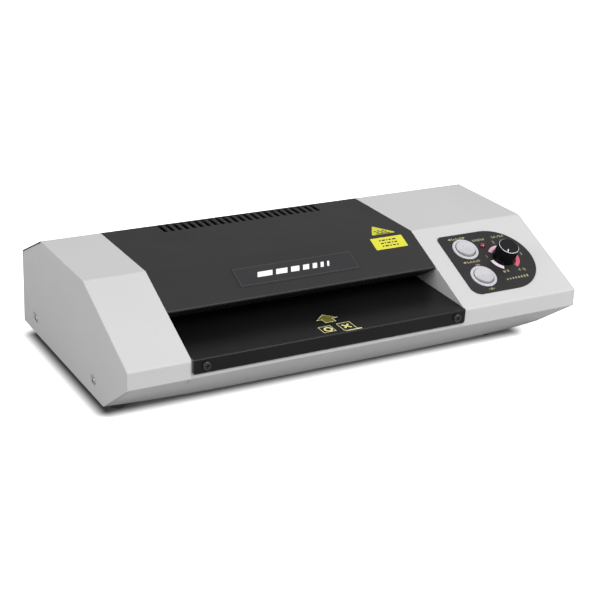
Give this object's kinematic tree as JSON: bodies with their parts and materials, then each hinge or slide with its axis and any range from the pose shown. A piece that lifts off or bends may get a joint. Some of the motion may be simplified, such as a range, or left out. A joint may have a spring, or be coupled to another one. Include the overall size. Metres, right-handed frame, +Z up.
{
  "type": "pouch laminator",
  "caption": "Free-standing pouch laminator with folded metal case, open feed tray, rear exit, geared hot rollers, rocker switches and a turning temperature knob.",
  "frame": {"origin": "on the surface the machine stands on, midway between its sides and midway between its front and rear", "axes": "+X to the operator's right, the operator stands at -Y and feeds towards +Y, +Z up"},
  "size_m": [0.4, 0.223, 0.0901],
  "materials": {
    "case_grey": "fine textured light grey powder coat",
    "case_black": "satin black powder coat",
    "tray_black": "satin black powder coat",
    "black_screw": "black oxide, cross-head",
    "steel_screw": "bright zinc plate",
    "foot_rubber": "matt black rubber",
    "frame_steel": "plain zinc-plated sheet",
    "shaft_steel": "ground steel",
    "roller_silicone": "matt silicone rubber",
    "bearing_bronze": "sintered bronze",
    "block_nylon": "natural nylon",
    "spring_steel": "spring wire",
    "gear_nylon": "natural nylon",
    "heat_plate": "plain aluminium",
    "heater_mica": "mica insulation",
    "motor_steel": "plated can",
    "black_plastic": "matt black moulding",
    "plaque": "fine textured dark grey panel",
    "switch_white": "light grey moulded plastic",
    "knob_black": "satin black moulded plastic",
    "nameplate_black": "gloss black plate",
    "label_yellow": "yellow vinyl label",
    "lamp_red": "clear red lens",
    "lamp_green": "clear green lens",
    "circuit_board": "solder-masked board",
    "board_part": "moulded components",
    "wire_red": "silicone insulated wire",
    "pot_metal": "plated can and bush"
  },
  "bodies": {
    "casing": {"base_pan": "case_grey", "left_end_cover": "case_grey", "right_end_cover": "case_grey", "centre_cover": "case_black", "rear_cover": "case_black", "feed_tray": "tray_black", "black_screws": "black_screw", "steel_screws": "steel_screw", "feet": "foot_rubber", "left_frame": "frame_steel", "right_frame": "frame_steel", "cross_bars": "frame_steel", "lower_bushes": "bearing_bronze", "idler_stud": "shaft_steel", "gear_posts": "frame_steel", "motor_bracket": "frame_steel", "gearbox": "motor_steel", "motor": "motor_steel", "lower_heating_plate": "heat_plate", "upper_heating_plate": "heat_plate", "heater_strips": "heater_mica", "thermal_cutouts": "black_plastic", "exit_guide": "tray_black", "control_plaque": "plaque", "mode_switch_housing": "switch_white", "power_switch_housing": "switch_white", "power_lamp": "lamp_red", "ready_lamp": "lamp_green", "lamp_board": "circuit_board", "potentiometer": "pot_metal", "nameplate": "nameplate_black", "labels": "label_yellow", "control_board": "circuit_board", "board_posts": "block_nylon", "board_components": "board_part", "power_inlet": "black_plastic", "wiring": "wire_red"},
    "front_lower_roller": {"front_lower_shaft": "shaft_steel", "front_lower_sleeve": "roller_silicone", "front_lower_gear": "gear_nylon"},
    "rear_lower_roller": {"rear_lower_shaft": "shaft_steel", "rear_lower_sleeve": "roller_silicone", "rear_lower_gear": "gear_nylon"},
    "front_upper_carrier": {"front_upper_blocks": "block_nylon", "front_pressure_springs": "spring_steel"},
    "rear_upper_carrier": {"rear_upper_blocks": "block_nylon", "rear_pressure_springs": "spring_steel"},
    "front_upper_roller": {"front_upper_shaft": "shaft_steel", "front_upper_sleeve": "roller_silicone", "front_upper_gear": "gear_nylon"},
    "rear_upper_roller": {"rear_upper_shaft": "shaft_steel", "rear_upper_sleeve": "roller_silicone", "rear_upper_gear": "gear_nylon"},
    "idler": {"idler_gear": "gear_nylon"},
    "pinion": {"motor_pinion": "gear_nylon", "output_shaft": "shaft_steel"},
    "temperature_knob": {"knob": "knob_black", "control_shaft": "pot_metal"},
    "power_rocker": {"power_switch_rocker": "switch_white"},
    "mode_rocker": {"mode_switch_rocker": "switch_white"}
  },
  "joints": [
    {"name": "front_lower_spin", "type": "hinge", "parent": "casing", "child": "front_lower_roller", "pos_m": [0.1, -0.014, 0.043], "axis": [1, 0, 0], "continuous": true},
    {"name": "rear_lower_spin", "type": "hinge", "parent": "casing", "child": "rear_lower_roller", "pos_m": [0.1, 0.046, 0.043], "axis": [1, 0, 0], "continuous": true},
    {"name": "front_pressure_slide", "type": "slide", "parent": "casing", "child": "front_upper_carrier", "axis": [0, 0, 1], "range_m": [0, 0.0008], "stiffness_N_per_m": 4000, "springref_m": -0.003, "deforming": ["front_pressure_springs"]},
    {"name": "rear_pressure_slide", "type": "slide", "parent": "casing", "child": "rear_upper_carrier", "axis": [0, 0, 1], "range_m": [0, 0.0008], "stiffness_N_per_m": 4000, "springref_m": -0.003, "deforming": ["rear_pressure_springs"]},
    {"name": "front_upper_spin", "type": "hinge", "parent": "front_upper_carrier", "child": "front_upper_roller", "pos_m": [0.1, -0.014, 0.068], "axis": [1, 0, 0], "continuous": true},
    {"name": "rear_upper_spin", "type": "hinge", "parent": "rear_upper_carrier", "child": "rear_upper_roller", "pos_m": [0.1, 0.046, 0.068], "axis": [1, 0, 0], "continuous": true},
    {"name": "idler_spin", "type": "hinge", "parent": "casing", "child": "idler", "pos_m": [0.1, 0.016, 0.043], "axis": [1, 0, 0], "continuous": true},
    {"name": "pinion_spin", "type": "hinge", "parent": "casing", "child": "pinion", "pos_m": [0.1, 0.0285, 0.02135], "axis": [1, 0, 0], "continuous": true},
    {"name": "knob_turn", "type": "hinge", "parent": "casing", "child": "temperature_knob", "pos_m": [0.1546, -0.06659, 0.07094], "axis": [0, 0.4208, -0.9072], "range_deg": [0, 270]},
    {"name": "power_rock", "type": "hinge", "parent": "casing", "child": "power_rocker", "pos_m": [0.1238, -0.08161, 0.06364], "axis": [1, 0, 0], "range_deg": [0, 12]},
    {"name": "mode_rock", "type": "hinge", "parent": "casing", "child": "mode_rocker", "pos_m": [0.1243, -0.05322, 0.07681], "axis": [1, 0, 0], "range_deg": [0, 12]}
  ],
  "couplings": [
    {"joint": "front_upper_spin", "follows": "front_lower_spin", "ratio": -1},
    {"joint": "rear_lower_spin", "follows": "front_lower_spin", "ratio": 1},
    {"joint": "rear_upper_spin", "follows": "front_lower_spin", "ratio": -1},
    {"joint": "idler_spin", "follows": "front_lower_spin", "ratio": -0.71429},
    {"joint": "pinion_spin", "follows": "front_lower_spin", "ratio": 1.6667}
  ]
}
